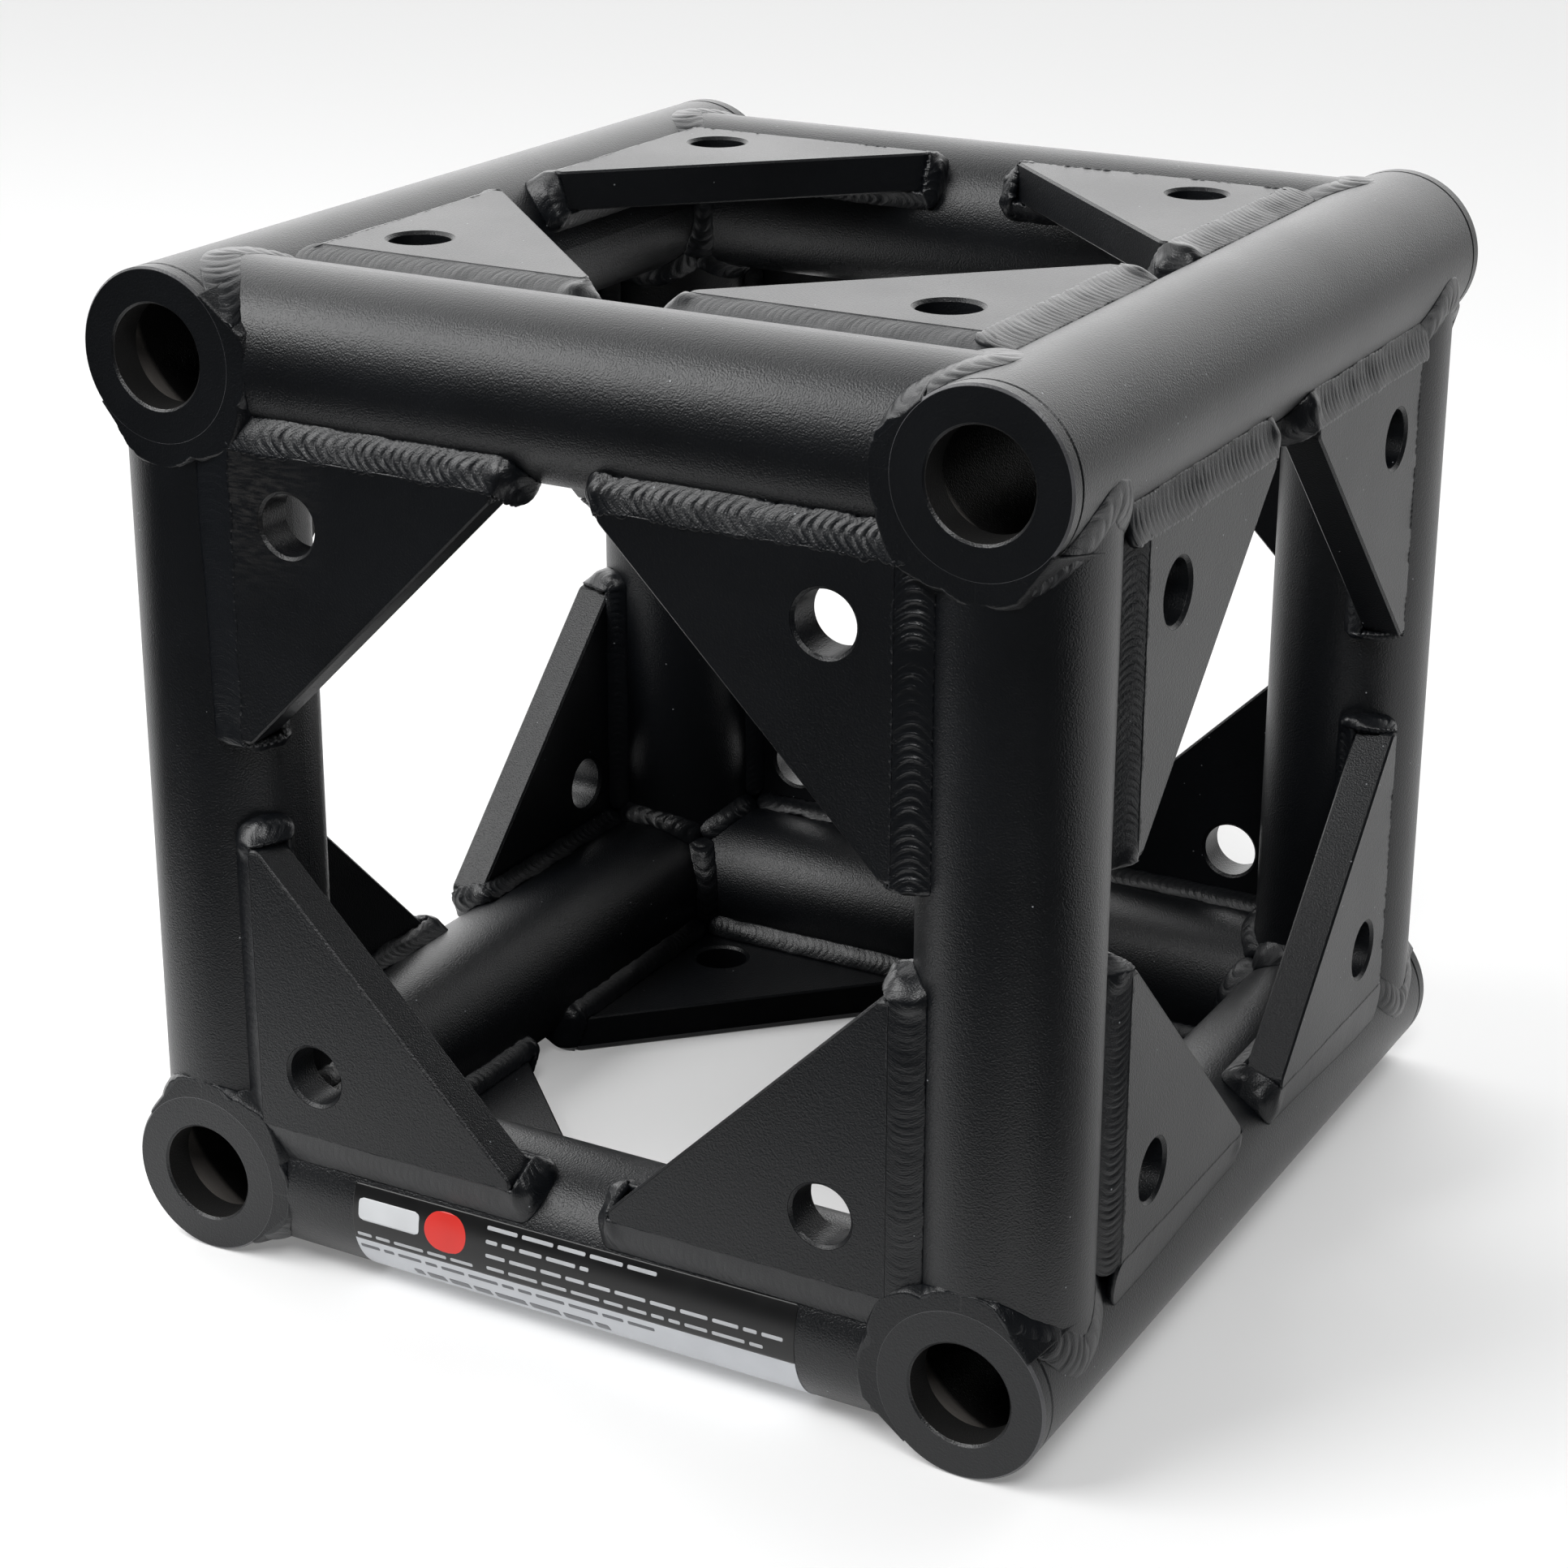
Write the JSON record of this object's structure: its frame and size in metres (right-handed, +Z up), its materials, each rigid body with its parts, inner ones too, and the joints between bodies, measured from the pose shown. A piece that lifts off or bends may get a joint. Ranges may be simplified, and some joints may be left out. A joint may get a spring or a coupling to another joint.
{
  "type": "box truss corner block",
  "caption": "Welded cube of round black tubes with triangular bolt plates on every face, for joining sections of stage lighting truss.",
  "frame": {"origin": "centre of the underside", "axes": "+Z up, +Y along the four chords towards the back, +X to the right when the label faces the viewer"},
  "size_m": [0.3048, 0.3049, 0.3048],
  "materials": {
    "coated_tube": "satin black powder coat",
    "coated_bush": "satin black powder coat on turned ends",
    "coated_plate": "satin black powder coat on flat plate",
    "coated_weld": "satin black powder coat on rippled weld beads",
    "label_film": "printed film, black above and silver below"
  },
  "bodies": {
    "root": {"chord_lower_left": "coated_tube", "chord_lower_right": "coated_tube", "chord_upper_left": "coated_tube", "chord_upper_right": "coated_tube", "cross_tube_front_lower": "coated_tube", "cross_tube_front_upper": "coated_tube", "cross_tube_back_lower": "coated_tube", "cross_tube_back_upper": "coated_tube", "upright_front_left": "coated_tube", "upright_front_right": "coated_tube", "upright_back_left": "coated_tube", "upright_back_right": "coated_tube", "end_bush_front_lower_left": "coated_bush", "end_bush_front_lower_right": "coated_bush", "end_bush_front_upper_left": "coated_bush", "end_bush_front_upper_right": "coated_bush", "end_bush_back_lower_left": "coated_bush", "end_bush_back_lower_right": "coated_bush", "end_bush_back_upper_left": "coated_bush", "end_bush_back_upper_right": "coated_bush", "plate_front_lower_left": "coated_plate", "plate_front_lower_right": "coated_plate", "plate_front_upper_left": "coated_plate", "plate_front_upper_right": "coated_plate", "plate_right_lower_front": "coated_plate", "plate_right_lower_back": "coated_plate", "plate_right_upper_front": "coated_plate", "plate_right_upper_back": "coated_plate", "plate_back_lower_right": "coated_plate", "plate_back_lower_left": "coated_plate", "plate_back_upper_right": "coated_plate", "plate_back_upper_left": "coated_plate", "plate_left_lower_back": "coated_plate", "plate_left_lower_front": "coated_plate", "plate_left_upper_back": "coated_plate", "plate_left_upper_front": "coated_plate", "plate_top_front_left": "coated_plate", "plate_top_front_right": "coated_plate", "plate_top_back_left": "coated_plate", "plate_top_back_right": "coated_plate", "plate_bottom_back_left": "coated_plate", "plate_bottom_back_right": "coated_plate", "plate_bottom_front_left": "coated_plate", "plate_bottom_front_right": "coated_plate", "joint_weld_front_lower_left": "coated_weld", "joint_weld_front_lower_right": "coated_weld", "joint_weld_front_upper_left": "coated_weld", "joint_weld_front_upper_right": "coated_weld", "joint_weld_back_lower_left": "coated_weld", "joint_weld_back_lower_right": "coated_weld", "joint_weld_back_upper_left": "coated_weld", "joint_weld_back_upper_right": "coated_weld", "plate_welds_front": "coated_weld", "plate_welds_right": "coated_weld", "plate_welds_back": "coated_weld", "plate_welds_left": "coated_weld", "plate_welds_top": "coated_weld", "plate_welds_bottom": "coated_weld", "label": "label_film"}
  },
  "joints": []
}
